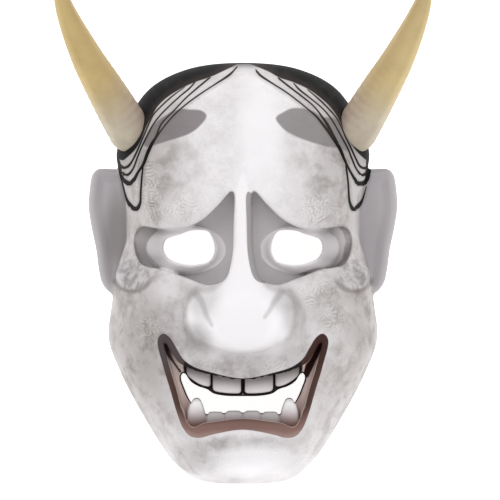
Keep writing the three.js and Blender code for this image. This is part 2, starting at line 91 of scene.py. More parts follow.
# A smooth line through the points, as evenly spaced points.
def smooth_line(points, count, closed=True):
    points = np.array(points, float)
    if not closed:
        points = np.vstack([2 * points[0] - points[1], points, 2 * points[-1] - points[-2]])
    line = []
    for i in range(len(points)) if closed else range(1, len(points) - 2):
        p0, p1, p2, p3 = (points[(i + k - 1) % len(points)] for k in range(4))
        t0 = 0.0
        t1 = t0 + np.sqrt(np.linalg.norm(p1 - p0))
        t2 = t1 + np.sqrt(np.linalg.norm(p2 - p1))
        t3 = t2 + np.sqrt(np.linalg.norm(p3 - p2))
        t = np.linspace(t1, t2, 16, endpoint=False)[:, None]
        a1 = (t1 - t) / (t1 - t0) * p0 + (t - t0) / (t1 - t0) * p1
        a2 = (t2 - t) / (t2 - t1) * p1 + (t - t1) / (t2 - t1) * p2
        a3 = (t3 - t) / (t3 - t2) * p2 + (t - t2) / (t3 - t2) * p3
        b1 = (t2 - t) / (t2 - t0) * a1 + (t - t0) / (t2 - t0) * a2
        b2 = (t3 - t) / (t3 - t1) * a2 + (t - t1) / (t3 - t1) * a3
        line.append((t2 - t) / (t2 - t1) * b1 + (t - t1) / (t2 - t1) * b2)
    line = np.concatenate(line)
    line = np.vstack([line, line[:1] if closed else points[-2:-1]])
    run = np.concatenate([[0], np.cumsum(np.linalg.norm(np.diff(line, axis=0), axis=1))])
    even = np.linspace(0, run[-1], count, endpoint=not closed)
    return np.stack([np.interp(even, run, column) for column in line.T], 1)


# A half outline joined to its mirror image.
def mirrored(half):
    return list(half) + [(-x, y) for x, y in reversed(half) if x != 0]


# How far a place lies outside a closed line, in millimetres and less than zero inside it,
# read from a sheet that is worked out once. The sheet covers one half of the face.
SHEET_STEP = 0.6
SHEET_ACROSS = (-6, 84)
SHEET_ALONG = (-114, 114)
sheet_x = np.arange(*SHEET_ACROSS, SHEET_STEP)
sheet_y = np.arange(*SHEET_ALONG, SHEET_STEP)


def template(points, count=150):
    line = smooth_line(points, count)
    x, y = np.meshgrid(sheet_x, sheet_y, indexing="ij")
    nearest = np.full(x.shape, 1e9)
    inside = np.zeros(x.shape, bool)
    for (ax, ay), (bx, by) in zip(line, np.roll(line, -1, axis=0)):
        run = (bx - ax) ** 2 + (by - ay) ** 2
        t = np.clip(((x - ax) * (bx - ax) + (y - ay) * (by - ay)) / run, 0, 1)
        nearest = np.minimum(nearest, (x - ax - t * (bx - ax)) ** 2 + (y - ay - t * (by - ay)) ** 2)
        if ay != by:
            inside ^= ((y >= ay) != (y >= by)) & (x < ax + (y - ay) / (by - ay) * (bx - ax))
    sheet = np.sqrt(nearest) * np.where(inside, -1, 1)

    def read(x, y):
        u = np.clip((np.abs(x) - sheet_x[0]) / SHEET_STEP, 0, len(sheet_x) - 1.001)
        v = np.clip((y - sheet_y[0]) / SHEET_STEP, 0, len(sheet_y) - 1.001)
        i, j = u.astype(int), v.astype(int)
        u, v = u - i, v - j
        return ((sheet[i, j] * (1 - v) + sheet[i, j + 1] * v) * (1 - u)
                + (sheet[i + 1, j] * (1 - v) + sheet[i + 1, j + 1] * v) * u)
    return read


outside_face = template(mirrored(FACE_OUTLINE), 220)
outside_socket = template(SOCKET_OUTLINE)
outside_eye = template(EYE_OUTLINE)
outside_mouth = template(mirrored(MOUTH_OUTLINE), 200)
outside_gape = template(mirrored(GAPE_OUTLINE))
outside_ear = template(EAR_OUTLINE)

# How far the rim of the face is from its middle, in each direction.
rim_line = smooth_line(mirrored(FACE_OUTLINE), 1440)
rim_angle = np.arctan2(rim_line[:, 1], rim_line[:, 0])
rim_order = np.argsort(rim_angle)
rim_angle, rim_reach = rim_angle[rim_order], np.hypot(*rim_line[rim_order].T)


def rim_radius(x, y):
    return np.interp(np.arctan2(y, np.abs(x)), rim_angle, rim_reach, period=2 * np.pi)


# From 0 at the first value to 1 at the second, eased at both ends.
def ease(low, high, value):
    t = np.clip((value - low) / (high - low), 0, 1)
    return t * t * (3 - 2 * t)


# Two shapes joined, or one cut by the other, with a rounded seam of the given size.
def join(a, b, seam):
    t = np.maximum(seam - np.abs(a - b), 0) / seam
    return np.minimum(a, b) - t * t * seam / 4


def cut(a, b, seam):
    return -join(-a, b, seam)


# A ball stretched to its reach each way. With more power it is flatter on top.
def ellipsoid(x, y, z, middle, reach, power=2):
    plan = np.hypot((x - middle[0]) / reach[0], (y - middle[1]) / reach[1]) + 1e-6
    rise = np.abs(z - middle[2]) / reach[2]
    level = (plan ** power + rise ** power) ** (1 / power)
    sideways = np.hypot((x - middle[0]) / reach[0] ** 2, (y - middle[1]) / reach[1] ** 2)
    sideways = plan ** (power - 2) * sideways
    steep = level ** (1 - power) * np.hypot(sideways, rise ** (power - 1) / reach[2])
    return (level - 1) / np.maximum(steep, 1e-4)


# A bar from one ball to another, tapering between their sizes.
def bar(x, y, z, start, end, start_size, end_size):
    span = np.array(end, float) - start
    t = sum((p - s) * d for p, s, d in zip((x, y, z), start, span)) / (span @ span)
    t = np.clip(t, 0, 1)
    off = np.sqrt(sum((p - s - t * d) ** 2 for p, s, d in zip((x, y, z), start, span)))
    return off - start_size - (end_size - start_size) * t


# The soft masses of the carving, each with its mirror image: how high it rises or sinks,
# then its middle and its reach on the pattern.
MASSES = [
    (2.5, 24, 66, 20, 18),  # swelling of the forehead
    (6, 15, 39, 9, 9),  # inner end of the brow
    (6, 30, 31, 11, 8),  # ridge of the brow
    (5, 46, 30, 9, 8),  # outer end of the brow
    (7, 43, -9, 15, 10),  # cheekbone
    (4, 50, -42, 10, 18),  # jowl
    (3, 0, -46, 28, 10),  # upper lip
    (6, 0, -94, 20, 8),  # chin
    (-1.4, 0, -86, 24, 3.5),  # groove between the lower lip and the chin
    (-3.5, 33, -20, 4.5, 13),  # fold from the nose to the corner of the mouth
    (-1.6, 0, 47, 2.6, 9),  # furrow between the brows
    (-1.1, 8.5, 49, 2.2, 7),  # its companions on each side
    (-1.2, 47, -58, 4, 14),  # hollow beside the mouth
    (1.4, 0, -41, 4.5, 4),  # ridge of the lip under the nose
]


def masses(x, y):
    return sum(rise * np.exp(-(((np.abs(x) - at_x) / reach_x) ** 2) - ((y - at_y) / reach_y) ** 2)
               for rise, at_x, at_y, reach_x, reach_y in MASSES)


# How far the middle of the face rises above the side wall, and how square its edges are: the
# chin is squarer than the crown.
def crest(y):
    return 50 - 5 * ease(20, 105, y) + 8 * ease(-45, -95, y)


def squareness(x, y):
    down = np.maximum(-y / np.maximum(np.hypot(x, y), 1), 0)
    return 2.6 + 2.2 * down * down


# The power that the block's height falls with towards its rim: smaller is fuller.
ROUNDING = 0.45


# The block's own height at a place, without its masses.
def block_height(x, y):
    out = np.minimum(np.hypot(x, y) / rim_radius(x, y), 1)
    return SKIRT + crest(y) * np.maximum(1 - out ** squareness(x, y), 0) ** ROUNDING


# The rounded block as a solid: how far a place lies outside its surface.
def block(x, y, z, thinner=0.0):
    out = np.hypot(x, y) / (rim_radius(x, y) - thinner)
    high = np.maximum(z - SKIRT - masses(x, y) * (0.8 if thinner else 1) + thinner, 0) / crest(y)
    power = squareness(x, y)
    level = out ** power + high ** (1 / ROUNDING)
    steep_out = power * out ** (power - 1) / (rim_radius(x, y) - thinner)
    steep_high = high ** (1 / ROUNDING - 1) / ROUNDING / crest(y)
    lean = 0.35 * steep_high
    return (level - 1) / np.sqrt(steep_out ** 2 + steep_high ** 2 + lean ** 2 + 1e-8)


# The nose: a narrow bridge, a heavy drooping tip and flared wings.
def nose(x, y, z):
    x = np.abs(x)
    bridge = bar(x, y, z, (0, 42, 63), (0, 8, 71.5), 5.2, 6.5)
    bridge = join(bridge, bar(x, y, z, (0, 8, 71.5), (0, -18, 78.5), 6.5, 12), 3)
    tip = ellipsoid(x, y, z, (0, -23, 78.6), (17.5, 15.2, 16.5), 2.6)
    base = ellipsoid(x, y, z, (0, -21.5, 66), (27.6, 16.6, 14.5), 3)
    wing = ellipsoid(x, y, z, (20.4, -21.5, 67.5), (8, 12.6, 13), 2.3)
    whole = join(join(join(bridge, tip, 5), base, 7), wing, 5)
    nostril = ellipsoid(x, y, z, (9.2, -36.4, 65.5), (4.6, 5.5, 3.6))
    return cut(whole, nostril, 1.5)


# The ground of the eye sockets, and of the gums that the teeth stand on.
GUM_DEPTH = 10


def socket_floor(x, y):
    return SKIRT + 34 - 0.32 * (np.abs(x) - 8) + 0.08 * y


def gum_floor(x, y):
    return block_height(x, y) - GUM_DEPTH


# A tooth: rounded at its corners and over its face. Its biting edge bows back to the gums
# with the row from bow_from on, and a pointed one narrows towards its edge.
def tooth(x, y, z, middle, half, root, edge, bow_from, bow, point, corner, stand):
    x = np.abs(x)
    edge = edge + bow * np.maximum(x - bow_from, 0) ** 2
    along = (y - root) / (edge - root)
    side = np.abs(x - middle) - half * (1 - point * np.clip(along, 0, 1.1) ** 3) + corner
    top = np.abs(y - (root + edge) / 2) - np.abs(edge - root) / 2 + corner
    front = np.hypot(np.maximum(side, 0), np.maximum(top, 0)) + np.minimum(np.maximum(side, top), 0) - corner
    swell = 0.028 * ((x - middle) ** 2 + 0.4 * (y - (root + edge) / 2) ** 2)
    face = gum_floor(middle, (root + edge) / 2) + stand - swell
    whole = cut(front, -np.maximum(z - face, gum_floor(x, y) - WALL - z), 1.2)
    return whole, front


# The teeth of one side, each as the values that tooth takes, from its middle to its stand.
UPPER_TEETH = [
    (7.9, 7.1, -48, -59.3, 4, 0.011, 0.0, 1.6, 5.2), (21.9, 6.1, -44, -56.1, 15.5, 0.04, 0.0, 1.6, 4.4),
]
LOWER_TEETH = [
    (4.55, 4.5, -79, -67.5, 0, 0.0, 0.05, 2.2, 4.6), (13.5, 4.4, -79, -68, 0, 0.0, 0.05, 2.2, 4.2),
    (22.9, 5.2, -79, -61.2, 0, 0.0, 0.72, 1.4, 5),
]
LIP = 1.6


# Half the width of the rolled lip: thin under the nose, fuller at the sides and the bottom.
def lip_size(x, y):
    aside = np.abs(x)
    return (0.4 + 0.3 * ease(10, 24, aside) + (LIP - 0.7) * np.maximum(ease(25, 33, aside), ease(-62, -68, y))
            + 1.1 * ease(-66, -76, y) * ease(28, 20, aside) + 0.8 * ease(27, 19, aside) * ease(-64, -69, y))


# How far a place lies outside the teeth, and outside their outlines seen from the front.
def teeth_at(x, y, z):
    made = [tooth(x, y, z, *one) for one in UPPER_TEETH + LOWER_TEETH]
    return np.minimum.reduce([one[0] for one in made]), np.minimum.reduce([one[1] for one in made])


# The wood left standing behind each horn's seat: its middle, its radius and where it starts.
SEAT_WOOD = (53.3, 66)
SEAT_WOOD_RADIUS = 18.8
SEAT_WOOD_FROM = 17


# How far a place lies outside the hollow of the back, which keeps clear of the sockets, the
# mouth and the horns' seats.
def hollow_at(x, y, z):
    hollow = block(x, y, z, WALL)
    backing = np.maximum(outside_mouth(x, y) - WALL, gum_floor(x, y) - WALL - z)
    backing = join(backing, np.maximum(outside_socket(x, y) - WALL, socket_floor(x, y) - WALL - z), 4)
    seat = np.hypot(np.abs(x) - SEAT_WOOD[0], y - SEAT_WOOD[1]) - SEAT_WOOD_RADIUS
    return cut(hollow, join(backing, np.maximum(seat, SEAT_WOOD_FROM - z), 4), 4)


# Each eyeball and each lobe of the cheek before the ear, as its middle and its reach.
EYEBALL = ((27.9, 12.6, 47.5), (19.9, 12.6, 13))
LOBE = ((54.8, -0.8, 37.5), (8.3, 7.4, 10))
# The cord's holes run through the side walls, at this height on the face and above the rim.
CORD_HOLE = (22, 5)
CORD_HOLE_RADIUS = 2.25


# The whole mask: less than zero in the wood.
def carved(x, y, z):
    face = join(block(x, y, z), nose(x, y, z), 4)
    face = np.maximum(face, outside_face(x, y))
    socket = np.maximum(outside_socket(x, y), socket_floor(x, y) - z)
    face = cut(face, socket, 1.6)
    face = join(face, ellipsoid(np.abs(x), y, z, *EYEBALL), 1.5)
    face = join(face, ellipsoid(np.abs(x), y, z, *LOBE), 2)

    lining = gum_floor(x, y) + 4 * ease(-9, -3, outside_mouth(x, y)) * ease(24, 31, np.abs(x))
    face = cut(face, np.maximum(outside_mouth(x, y), lining - z), 1)
    surface = block_height(x, y) + masses(x, y)
    size = lip_size(x, y)
    lip = np.hypot(outside_mouth(x, y) + size, z - surface + 1.2) - size
    face = join(face, lip, 0.8)

    ear = outside_ear(x, y)
    bowl = np.exp(-(((np.abs(x) - 62.5) / 6.5) ** 2) - ((y - 20) / 18) ** 2)
    ear_top = 27.5 - 0.25 * (np.abs(x) - 59) - 3.6 * ease(1.2, 8, -ear) - 4 * bowl
    slab = -join(-ear, -np.maximum(z - ear_top, 14 - z), 3)
    face = join(face, slab, 2.5)

    teeth = teeth_at(x, y, z)[0]
    gouge = 0.35 * np.cos(x * 0.9 + 0.6 * np.sin(y * 0.31)) * np.cos(y * 0.42 + 0.8 * np.sin(x * 0.23))
    whole = np.maximum(face, -hollow_at(x, y, z) - gouge)
    whole = join(whole, np.maximum(teeth, outside_face(x, y)), 0.4)
    gape = np.maximum(outside_gape(x, y), -teeth - 0.3)
    whole = cut(whole, gape, 0.8)
    whole = cut(whole, outside_eye(x, y), 1.2)
    cord_hole = np.hypot(y - CORD_HOLE[0], z - CORD_HOLE[1]) - CORD_HOLE_RADIUS
    whole = np.where(np.abs(x) > 40, cut(whole, cord_hole, 0.6), whole)
    return -join(-whole, z, 0.8)


# A mesh of the surface where the carving crosses from wood to air: one point for each small
# cube that the surface passes through, joined to its neighbours' points. The carving is
# measured on one half and mirrored.
def surface_mesh(field, low, high, step):
    half_x = np.arange(0, high[0] + step, step) + step / 2
    ys = np.arange(low[1], high[1] + step, step)
    zs = np.arange(low[2], high[2] + step, step)
    half = field(half_x[:, None, None], ys[None, :, None], zs[None, None, :]).astype(np.float32)
    values = np.concatenate([half[::-1], half])
    xs = np.concatenate([-half_x[::-1], half_x])
    wood = values < 0
    corners = [(i, j, k) for i in (0, 1) for j in (0, 1) for k in (0, 1)]
    count = np.zeros(np.array(values.shape) - 1, np.int8)
    for i, j, k in corners:
        count += wood[i:count.shape[0] + i, j:count.shape[1] + j, k:count.shape[2] + k]
    cells = np.argwhere((count > 0) & (count < 8))
    total = np.zeros((len(cells), 3))
    crossings = np.zeros(len(cells))
    for a in corners:
        for b in corners:
            if sum(b) - sum(a) != 1 or sum(abs(p - q) for p, q in zip(a, b)) != 1:
                continue
            va = values[tuple((cells + a).T)]
            vb = values[tuple((cells + b).T)]
            hit = (va < 0) != (vb < 0)
            t = np.where(hit, va / np.where(hit, va - vb, 1), 0)
            at = np.array(a) + t[:, None] * (np.array(b) - a)
            total += at * hit[:, None]
            crossings += hit
    points = cells + total / crossings[:, None]
    points = np.stack([np.interp(points[:, 0], np.arange(len(xs)), xs),
                       np.interp(points[:, 1], np.arange(len(ys)), ys),
                       np.interp(points[:, 2], np.arange(len(zs)), zs)], 1)
    number = np.full(count.shape, -1, np.int32)
    number[tuple(cells.T)] = np.arange(len(cells))
    quads = []
    for axis in range(3):
        u, v = (axis + 1) % 3, (axis + 2) % 3
        ahead = np.roll(wood, -1, axis)
        change = wood != ahead
        spots = np.argwhere(change)
        limit = np.array(values.shape)
        keep = (spots[:, axis] < limit[axis] - 1) & (spots[:, u] > 0) & (spots[:, v] > 0)
        keep &= (spots[:, u] < limit[u] - 1) & (spots[:, v] < limit[v] - 1)
        spots = spots[keep]
        leaving = wood[tuple(spots.T)]
        around = []
        for du, dv in ((0, 0), (1, 0), (1, 1), (0, 1)):
            cell = spots.copy()
            cell[:, u] -= du
            cell[:, v] -= dv
            around.append(number[tuple(cell.T)])
        quad = np.stack(around, 1)
        quads.append(np.where(leaving[:, None], quad, quad[:, ::-1]))
    return points, np.concatenate(quads)


# Which way the carving falls away at each point, and how steeply.
def slope_at(points):
    x, y, z = points.T
    nudge = 0.05
    return np.stack([carved(x + nudge, y, z) - carved(x - nudge, y, z),
                     carved(x, y + nudge, z) - carved(x, y - nudge, z),
                     carved(x, y, z + nudge) - carved(x, y, z - nudge)], 1) / (2 * nudge)


# The points moved onto the carved surface, where they lie a little off it.
def settle(points, rounds):
    for _ in range(rounds):
        slope = slope_at(points)
        steep = np.maximum((slope ** 2).sum(1), 0.2)
        move = -carved(*points.T)[:, None] * slope / steep[:, None]
        reach = np.linalg.norm(move, axis=1, keepdims=True)
        points = points + move * np.minimum(1, 0.35 * STEP / np.maximum(reach, 1e-6))
    return points


# From the pattern's millimetres to the frame's metres, and back.
def to_frame(points):
    out = np.array(points) * [ACROSS, ALONG, 1] + [0, FACE_SHIFT, 0]
    out[:, 2] = np.where(out[:, 2] > SKIRT, SKIRT + (out[:, 2] - SKIRT) * OUTWARD, out[:, 2])
    return out * MM


def to_pattern(points):
    out = np.array(points) / MM
    out[:, 2] = np.where(out[:, 2] > SKIRT, SKIRT + (out[:, 2] - SKIRT) / OUTWARD, out[:, 2])
    return (out - [0, FACE_SHIFT, 0]) / [ACROSS, ALONG, 1]


def new_piece(name, points, faces):
    mesh = bpy.data.meshes.new(name)
    mesh.from_pydata(points.tolist(), [], faces)
    mesh.polygons.foreach_set("use_smooth", [True] * len(mesh.polygons))
    piece = bpy.data.objects.new(name, mesh)
    bpy.context.scene.collection.objects.link(piece)
    return piece


BLANK_LOW = (0, -108, -1.5)
BLANK_HIGH = (79.5, 108, 97.5)
MOST_TRIANGLES = 196000
points, quads = surface_mesh(carved, BLANK_LOW, BLANK_HIGH, STEP)
mask = new_piece("carved_mask", to_frame(settle(points, 2)), quads.tolist())
if 2 * len(quads) > MOST_TRIANGLES:
    thin = mask.modifiers.new("thin out", "DECIMATE")
    thin.ratio = MOST_TRIANGLES / (2 * len(quads))
    bpy.context.view_layer.objects.active = mask
    bpy.ops.object.modifier_apply(modifier=thin.name)

# The painting. Ground shell in glue makes the white, stained with age, with painted shade and
# painted light over it. The brows are smudged with ink, the hair is drawn in black along the crown
# and in lines down to the temples, the eyes lie in grey that is partly painted shade, and the lips
# and the walls of the mouth are brown and rose.
# Lines drawn on the left half, -1, are mirrored, so both sides count outwards from the middle.
HAIRLINE = {
    -1: [(2.9, 103.9), (16.3, 97.4), (23.4, 95), (29.2, 92.4), (37.8, 87.1), (42.6, 82.3), (45.2, 77.5),
         (47.8, 72.8), (50.2, 66.5), (53, 61.8), (56.9, 57.9), (59.8, 56), (61.5, 56.6)],
    1: [(4, 103.9), (13.1, 100), (17.9, 97.2), (25, 94.8), (32.3, 91.4), (39.4, 86.2), (44.2, 81.4),
        (47.1, 77), (50, 70.8), (52.4, 66), (55.7, 61.3), (59, 57.9), (62.4, 55.8), (63.8, 57)],
}
# The drawn hairs of each temple, three layers of two, as places and half the width of the
# brush there.
HAIRS = {
    -1: [
        [[(2.4, 103.4, 0.2), (6.2, 99, 0.5), (13.8, 93.8, 0.3), (21, 89, 0.3), (28.2, 83.7, 0.3),
          (33.5, 79, 0.3), (37.8, 74.2, 0.3), (41.1, 69.9, 0.35), (44.5, 65.1, 0.7), (47.3, 59.3, 0.8),
          (49.2, 54.1, 0.7), (52.1, 49.8, 0.6), (54, 46.4, 0.9), (56.4, 44.7, 1.2), (58.8, 45.9, 0.9),
          (60, 48.3, 0.6)],
         [(28.7, 92.6, 0.1), (34.9, 88, 0.3), (40.1, 83.3, 0.3), (44.5, 78.5, 0.3), (46.4, 74.6, 0.3),
          (48.8, 68.9, 0.3), (50.9, 64.1, 0.35), (52.8, 59.8, 0.4), (55, 55.5, 0.4), (56.9, 53.1, 0.6),
          (59.3, 52.4, 0.6), (61, 53.6, 0.8)]],
        [[(23.6, 95.2, 0.3), (26.4, 91.9, 0.35), (31, 88, 0.3), (36.2, 83.2, 0.3), (41, 78.3, 0.3),
          (44.5, 73.7, 0.3), (47.3, 68.4, 0.35), (49.7, 63.6, 0.35), (52.1, 57.9, 0.35), (54.5, 51.7, 0.4),
          (56.9, 49, 0.6), (58.8, 48.8, 0.7), (60, 50, 0.8)],
         [(49.3, 54.5, 0.3), (50.1, 46.5, 0.4), (50.6, 39.9, 0.45), (50.9, 34.8, 0.6), (52.7, 32, 1.1),
          (55.2, 33, 1.1), (57.8, 36.8, 0.6), (59.3, 42, 0.4), (60.3, 46, 0.4)]],
        [[(16.2, 97.4, 0.4), (22.8, 91.8, 0.35), (28.6, 86.6, 0.3), (33.9, 80.9, 0.3), (38.2, 76.6, 0.3),
          (40.6, 73.7, 0.35), (43, 67.9, 0.4), (44.9, 64.8, 0.3)],
         [(62.3, 56.7, 0.8), (61.5, 53.7, 0.9), (60.8, 49.1, 0.7), (60.4, 46, 0.3)]],
    ],
    1: [
        [[(6.4, 101, 0.5), (8.3, 98.6, 0.5), (14.5, 94.3, 0.35), (21.2, 90, 0.3), (27.5, 85.2, 0.3),
          (32.2, 81.3, 0.3), (36.5, 77.5, 0.45), (40.4, 72.7, 0.6), (44.2, 67.5, 0.7), (48, 61.7, 0.8),
          (50.4, 56, 0.6), (53.3, 50.2, 0.5), (55.7, 46.4, 0.8), (57.1, 44.7, 1.1), (60.5, 45, 1.2),
          (62.9, 49.3, 0.7)],
         [(31.8, 91.4, 0.2), (38, 86.1, 0.35), (42.8, 81.3, 0.35), (46.1, 77.5, 0.3), (48.5, 73.2, 0.3),
          (50.9, 67.5, 0.35), (53.3, 62.7, 0.4), (55.7, 57.4, 0.4), (58.1, 53.1, 0.5), (60.5, 52.2, 0.6),
          (62.9, 53.6, 0.9)]],
        [[(25.1, 94.5, 0.2), (27.5, 91.6, 0.4), (33.7, 86.6, 0.3), (39.9, 81.3, 0.3), (43.7, 76.6, 0.3),
          (46.6, 71.8, 0.3), (49.5, 66.5, 0.35), (52.3, 61.2, 0.35), (54.3, 56, 0.4), (56.6, 51.2, 0.4),
          (59, 48.8, 0.6), (60.9, 49.3, 0.6), (62.9, 51.2, 0.9)],
         [(50.9, 55, 0.3), (51.1, 53, 0.4), (52.1, 44.7, 0.4), (53, 34.9, 0.6), (54.9, 31.7, 1),
          (57.5, 33.7, 1), (59.7, 36.7, 0.6), (61.7, 43.7, 0.4)]],
        [[(17.4, 97.1, 0.4), (22.7, 92.8, 0.4), (29.4, 87.6, 0.35), (35.1, 82.8, 0.3), (38.9, 78, 0.4),
          (41.8, 73.7, 0.7), (44.7, 68.4, 0.6), (47.6, 63.2, 0.4)],
         [(61.6, 64.5, 0.8), (62.3, 58.6, 1.1), (62.5, 53, 1.3), (62, 47.5, 1.1), (61.4, 44.6, 0.5)]],
    ],
}
BROWS = {
    -1: [(17.9, 78), (20.5, 80.6), (25.8, 81.1), (31, 81.5), (37, 79), (41.6, 76.1), (46.3, 71.3),
         (49.3, 64.1), (48.3, 62.7), (43, 63.7), (37.7, 65.3), (32, 67), (25.8, 69.4), (21.5, 72.7)],
    1: [(16.2, 77), (19.3, 79.4), (24.6, 81.8), (31.3, 81.4), (35.1, 80.2), (39.4, 77.6), (46.1, 76.5),
        (49.5, 68.9), (52.8, 60.8), (46.6, 62.2), (40.9, 62.9), (33.2, 65.1), (25.6, 68), (20.3, 71.2)],
}
NOSE_LIGHT = [
    (0, 50), (3.4, 42), (4, 22), (5.4, 6), (9, -3), (15, -8.5), (22, -9.5), (26.3, -14), (27.2, -22),
    (24.8, -29.5), (17.5, -34.8), (8, -37.4), (0, -38),
]
# Painted shade along the creases between the tip and the wings of the nose, and painted shadow in the
# mouth's corners, as places and half the width of the brush there.
CREASE_SHADES = {
    -1: [(25.5, -8.6, 0.6), (23.3, -10.1, 1.1), (20.4, -13.6, 0.9), (18.1, -19.9, 0.6), (16.4, -23.3, 0.4),
         (15, -25.6, 0.2)],
    1: [(20.5, -7.6, 0.6), (18.6, -9.6, 1), (15.7, -13.6, 0.8), (13.4, -17.6, 0.5), (10.6, -21.6, 0.2)],
}
CORNER_SHADOWS = {
    -1: [(38.9, -35.5, 0.9), (36.5, -40.5, 0.8), (33.8, -44.5, 0.5), (30.9, -48.6, 0.6)],
    1: [(38.6, -34.5, 1.4), (35.4, -39.6, 2.1), (32.9, -45.5, 2), (31, -51, 1.3)],
}
EAR_FRONT = [
    (63.3, 53), (60, 47), (58, 31), (56.3, 23), (56.9, 17.5), (60, 9.4), (62.3, 4), (62, -2), (60, -12),
]


# How far places lie to the left of a drawn line, and half the brush's width beside them.
# Past its ends the line runs straight on and the brush lifts off.
def beside(points, x, y):
    points = np.array([(*p, 0.3)[:3] for p in points], float)
    line = smooth_line(points, 6 * len(points), closed=False)
    lift = 25.0
    for end, inner in ((0, 1), (-1, -2)):
        way = line[end, :2] - line[inner, :2]
        past = np.append(line[end, :2] + way / np.linalg.norm(way) * lift, -lift)
        line = np.vstack([past, line]) if end == 0 else np.vstack([line, past])
    nearest = np.full(x.shape, 1e9)
    side = np.zeros(x.shape)
    width = np.zeros(x.shape)
    for (ax, ay, aw), (bx, by, bw) in zip(line, line[1:]):
        t = np.clip(((x - ax) * (bx - ax) + (y - ay) * (by - ay)) / ((bx - ax) ** 2 + (by - ay) ** 2), 0, 1)
        off = np.hypot(x - ax - t * (bx - ax), y - ay - t * (by - ay))
        closer = off < nearest
        nearest = np.where(closer, off, nearest)
        side = np.where(closer, np.sign((bx - ax) * (y - ay) - (by - ay) * (x - ax)), side)
        width = np.where(closer, aw + t * (bw - aw), width)
    return nearest * side, width


# A layer of values on a piece, one for each point, for the paint to follow.
def painted(piece, name, values):
    kind = "FLOAT_VECTOR" if values.ndim > 1 else "FLOAT"
    layer = piece.data.attributes.new(name, kind, "POINT")
    layer.data.foreach_set("vector" if values.ndim > 1 else "value", values.astype(np.float32).ravel())


coordinates = np.empty(3 * len(mask.data.vertices))
mask.data.vertices.foreach_get("co", coordinates)
points = to_pattern(coordinates.reshape(-1, 3))
x, y, z = points.T
slope = slope_at(points)
outward = slope / np.maximum(np.linalg.norm(slope, axis=1, keepdims=True), 1e-6)


# Places of both halves of the face, each half by its own lines.
def by_side(lines, worked_out):
    made = [worked_out(lines[side], side * x) for side in (-1, 1)]
    return [np.where(x < 0, *pair) for pair in zip(*made)]


# The black of the crown runs on down the side walls to just above the ears.
SIDES_BELOW = 28
BLACK_ABOVE = 53.5
hair = by_side(HAIRLINE, lambda line, across: beside(line, across, y))[0]
painted(mask, "hair", np.maximum(hair, np.minimum(SIDES_BELOW - z, y - BLACK_ABOVE)))
for layer in range(3):
    nearest = None
    for line in range(2):
        side, width = by_side(
            {s: HAIRS[s][layer][line] for s in (-1, 1)}, lambda points, across: beside(points, across, y))
        width = width - 2 * np.maximum(np.abs(side) - 1.6, 0) - 0.3 * np.maximum(24 - z, 0)
        if nearest is None:
            nearest = side, width
        else:
            closer = np.abs(side) - width < np.abs(nearest[0]) - nearest[1]
            nearest = [np.where(closer, new, old) for new, old in zip((side, width), nearest)]
    painted(mask, "hairs_%d" % (layer + 1), np.stack([*nearest, 0 * x], 1))

# The painted shade of the nose's creases and the painted shadow of the mouth's corners, as how far inside the
# brush a place lies.
for name, lines in (("crease_shade", CREASE_SHADES), ("corner", CORNER_SHADOWS)):
    side, width = by_side(lines, lambda line, across: beside(line, across, y))
    painted(mask, name, width - np.abs(side))

brow = {side: template(BROWS[side], 100) for side in BROWS}
painted(mask, "brow", np.where(x < 0, brow[-1](x, y), brow[1](x, y)))
# The right of the nose's light is narrower, and the right socket is painted nearer the nose.
painted(mask, "nose_light", template(mirrored(NOSE_LIGHT), 120)(x + 0.1 * np.maximum(x, 0), y))
right_socket = outside_socket(x + 2.8, y - 1.2 * ease(8, -2, y) * ease(6, 16, x))
painted(mask, "socket", np.where(x > 0, right_socket, outside_socket(x, y)))
painted(mask, "socket_cut", outside_socket(x, y))
painted(mask, "eyeball", 12 * np.hypot((np.abs(x) - 28.3) / 19.2, (y - 11.8) / 11.7) - 12)
painted(mask, "lobe", 8 * np.hypot((np.abs(x) - 55) / 8.8, (y + 0.6) / 7.6) - 8)
ear = np.maximum(-beside(EAR_FRONT, np.abs(x), y)[0], z - 27.5)
painted(mask, "ear", np.maximum.reduce([ear, -8.5 - y, 58 - np.abs(x), 4 - z]))
painted(mask, "hollow", np.minimum(np.abs(hollow_at(x, y, z)), z))

mouth = outside_mouth(x, y)
painted(mask, "mouth", np.where(z > SKIRT, mouth, 9))
painted(mask, "lip", 0.3 - mouth - 2 * lip_size(x, y))
teeth, tooth_front = teeth_at(x, y, z)
painted(mask, "tooth", teeth)
painted(mask, "tooth_front", tooth_front)
rise = np.zeros(x.shape)
nearest = np.full(x.shape, 1e9)
for one in UPPER_TEETH + LOWER_TEETH:
    root, edge = one[2:4]
    away = tooth(x, y, z, *one)[1]
    rise = np.where(away < nearest, (y - root) / (edge - root), rise)
    nearest = np.minimum(nearest, away)
painted(mask, "tooth_rise", rise)
painted(mask, "gape", np.maximum(outside_gape(x, y), -tooth_front))

# Painted shade, darkest where the carving closes in round a place.
crevice_shade = 0
for away in (1.5, 4, 9):
    crevice_shade = crevice_shade + np.clip(1 - carved(*(points + outward * away).T) / away, 0, 1) / 3
painted(mask, "crevice_shade", crevice_shade)


# A colour by the red, green and blue of a paint card, each out of 255.
def tint(red, green, blue):
    return tuple(((c / 255 + 0.055) / 1.055) ** 2.4 for c in (red, green, blue)) + (1,)


# A value on its way through a material, and the material that mixes such values.
class Coat:
    def __init__(self, paint, socket):
        self.paint, self.socket = paint, socket

    def __add__(self, other):
        return self.paint.sum("ADD", self, other)

    def __sub__(self, other):
        return self.paint.sum("SUBTRACT", self, other)

    def __rsub__(self, other):
        return self.paint.sum("SUBTRACT", other, self)

    def __mul__(self, other):
        return self.paint.sum("MULTIPLY", self, other)

    def __abs__(self):
        return self.paint.sum("ABSOLUTE", self, 0.0)

    __radd__, __rmul__ = __add__, __mul__


